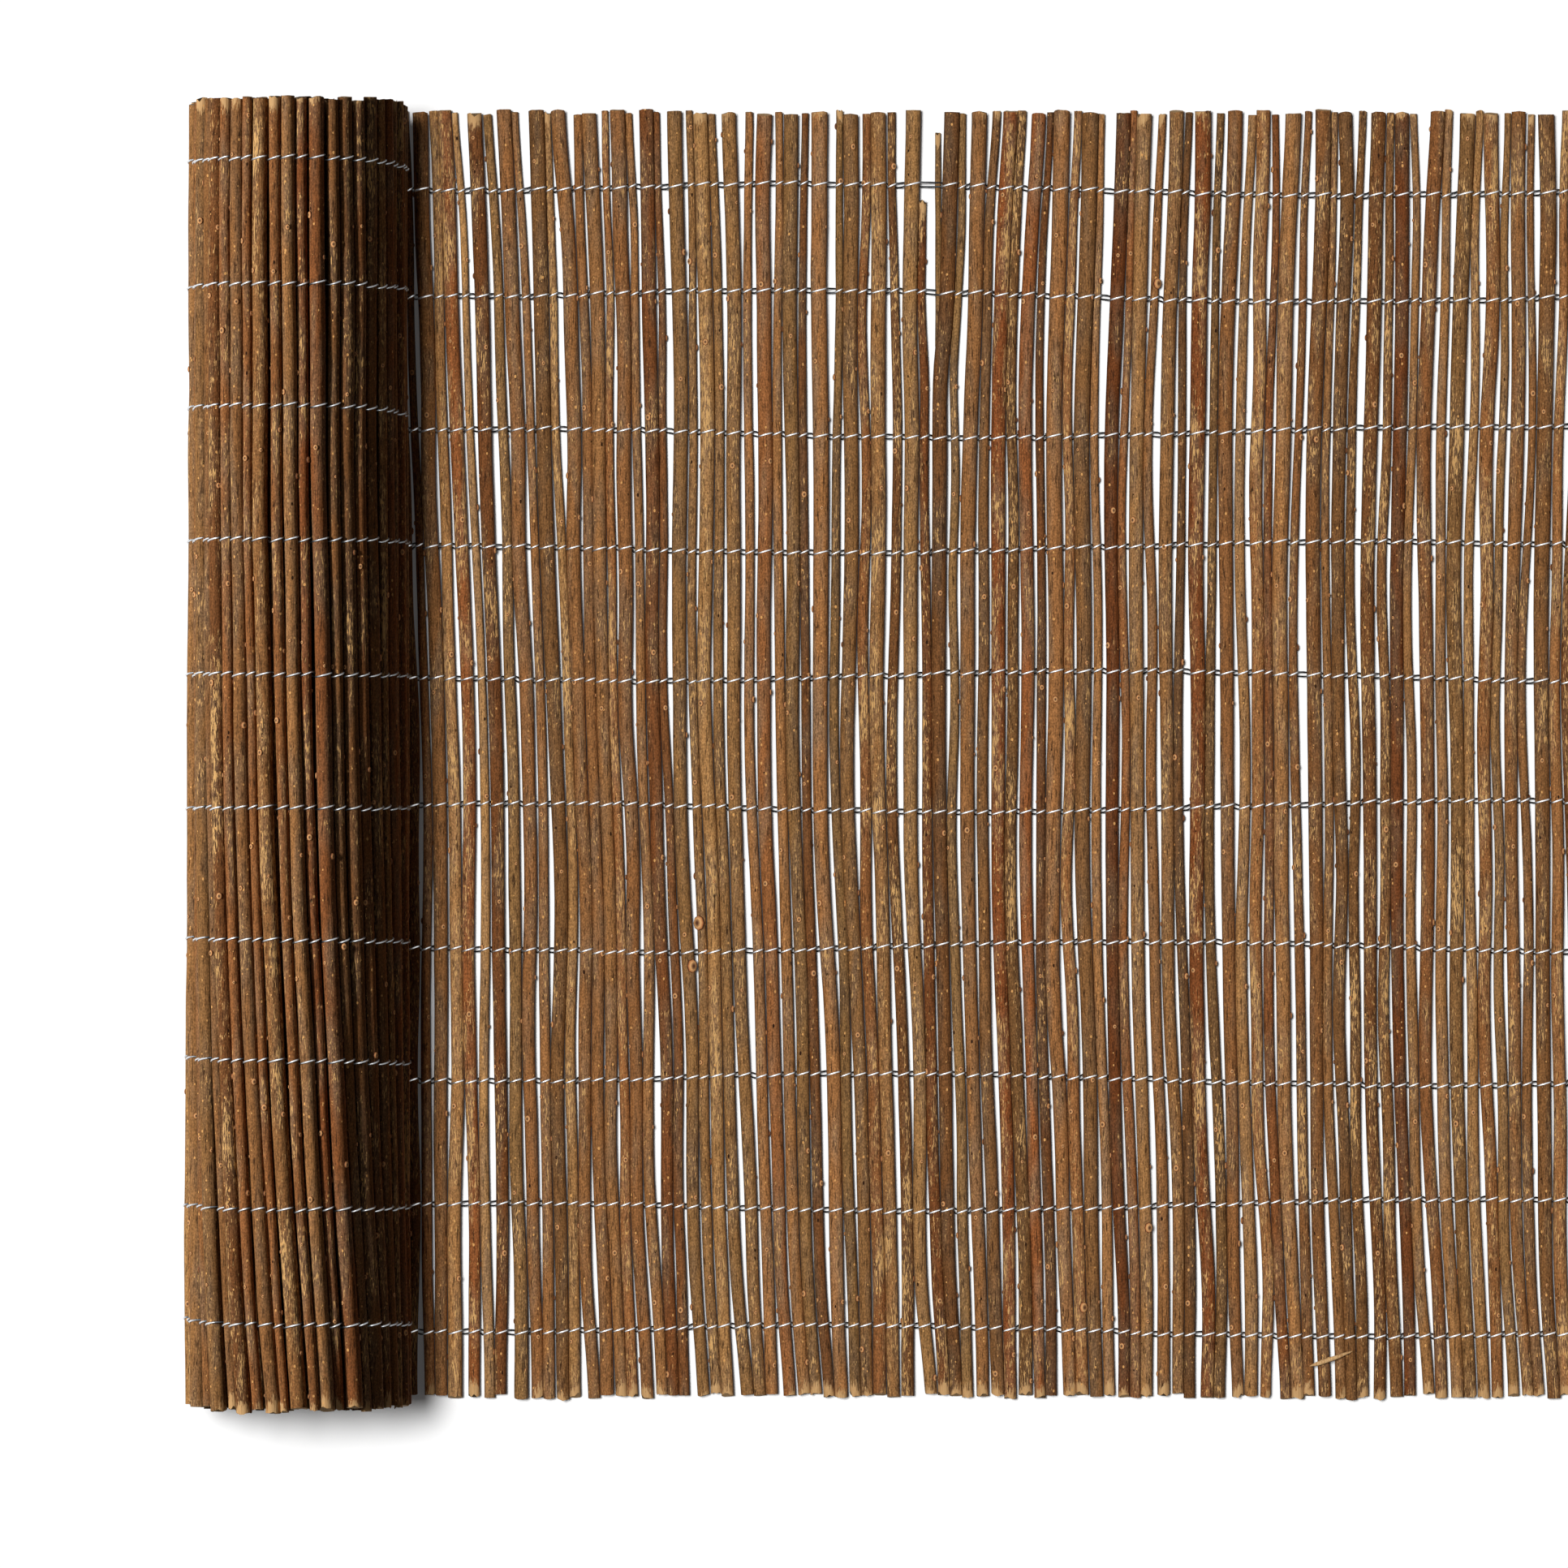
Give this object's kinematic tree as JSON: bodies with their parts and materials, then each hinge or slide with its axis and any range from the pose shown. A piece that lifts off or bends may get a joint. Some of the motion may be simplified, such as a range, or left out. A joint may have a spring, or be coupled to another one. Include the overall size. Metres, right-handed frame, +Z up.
{
  "type": "willow screen",
  "caption": "Garden screen of willow rods in bark, bound side by side by rows of twisted wire; one end is still rolled up and the rest lies flat.",
  "frame": {"origin": "on the floor, at the middle of the whole screen's outline", "axes": "+X along the screen from the roll to the free end, +Y along the rods to the screen's top edge, +Z up from the floor"},
  "size_m": [1.3118, 1, 0.1818],
  "materials": {
    "willow_bark": "dry bark, matt",
    "galvanised_wire": "galvanised, dull"
  },
  "bodies": {
    "root": {"broken_tip": "willow_bark", "laid_out_mat": "willow_bark", "mat_wire_01": "galvanised_wire", "mat_wire_02": "galvanised_wire", "mat_wire_03": "galvanised_wire", "mat_wire_04": "galvanised_wire", "mat_wire_05": "galvanised_wire", "mat_wire_06": "galvanised_wire", "mat_wire_07": "galvanised_wire", "mat_wire_08": "galvanised_wire", "mat_wire_09": "galvanised_wire", "mat_wire_10": "galvanised_wire", "roll_wire_01": "galvanised_wire", "roll_wire_02": "galvanised_wire", "roll_wire_03": "galvanised_wire", "roll_wire_04": "galvanised_wire", "roll_wire_05": "galvanised_wire", "roll_wire_06": "galvanised_wire", "roll_wire_07": "galvanised_wire", "roll_wire_08": "galvanised_wire", "roll_wire_09": "galvanised_wire", "roll_wire_10": "galvanised_wire", "rolled_turns": "willow_bark"}
  },
  "joints": []
}
